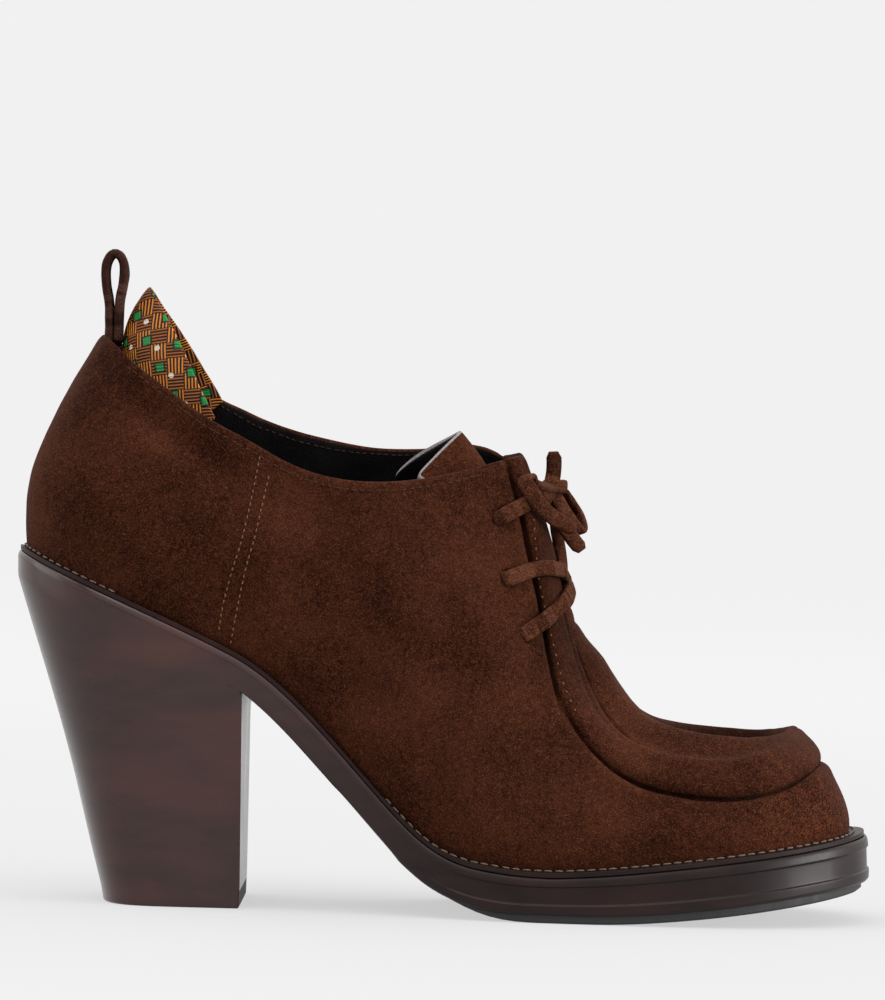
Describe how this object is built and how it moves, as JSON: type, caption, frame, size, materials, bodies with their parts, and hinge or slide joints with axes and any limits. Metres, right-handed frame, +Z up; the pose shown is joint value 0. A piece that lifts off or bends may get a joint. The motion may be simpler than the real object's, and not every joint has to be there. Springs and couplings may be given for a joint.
{
  "type": "heeled lace-up shoe",
  "caption": "Right lace-up shoe in brown suede on a high raked block heel, with a raised apron toe, welted sole, silk heel tab and pull loop.",
  "frame": {"origin": "centre of the sole's plan box, on the floor", "axes": "+X towards the toe, +Y towards the inner side of the foot, +Z up"},
  "size_m": [0.2447, 0.0922, 0.1855],
  "materials": {
    "suede": "napped brown suede",
    "tongue_suede": "napped brown suede with a pale cut edge",
    "loop_suede": "napped brown suede tape",
    "lace_suede": "flat suede thong",
    "welt_leather": "dark brown leather strip with pale stitching",
    "sole_leather": "waxed dark brown edge",
    "heel_stack": "waxed and polished dark brown",
    "top_piece": "satin dark brown",
    "rubber": "matt black",
    "sock_leather": "smooth black",
    "silk": "ribbed silk with a small repeat"
  },
  "bodies": {
    "root": {"outsole": "sole_leather", "rubber_forepart": "rubber", "heel_block": "heel_stack", "top_lift": "top_piece", "welt": "welt_leather", "insole": "sock_leather", "upper": "suede", "tongue": "tongue_suede", "heel_tab": "silk", "pull_loop": "loop_suede", "lace_crossing": "lace_suede", "lace_top_bar": "lace_suede", "lace_knot": "lace_suede", "lace_end_up": "lace_suede", "lace_loop_near": "lace_suede", "lace_loop_far": "lace_suede", "lace_end_down": "lace_suede"}
  },
  "joints": []
}
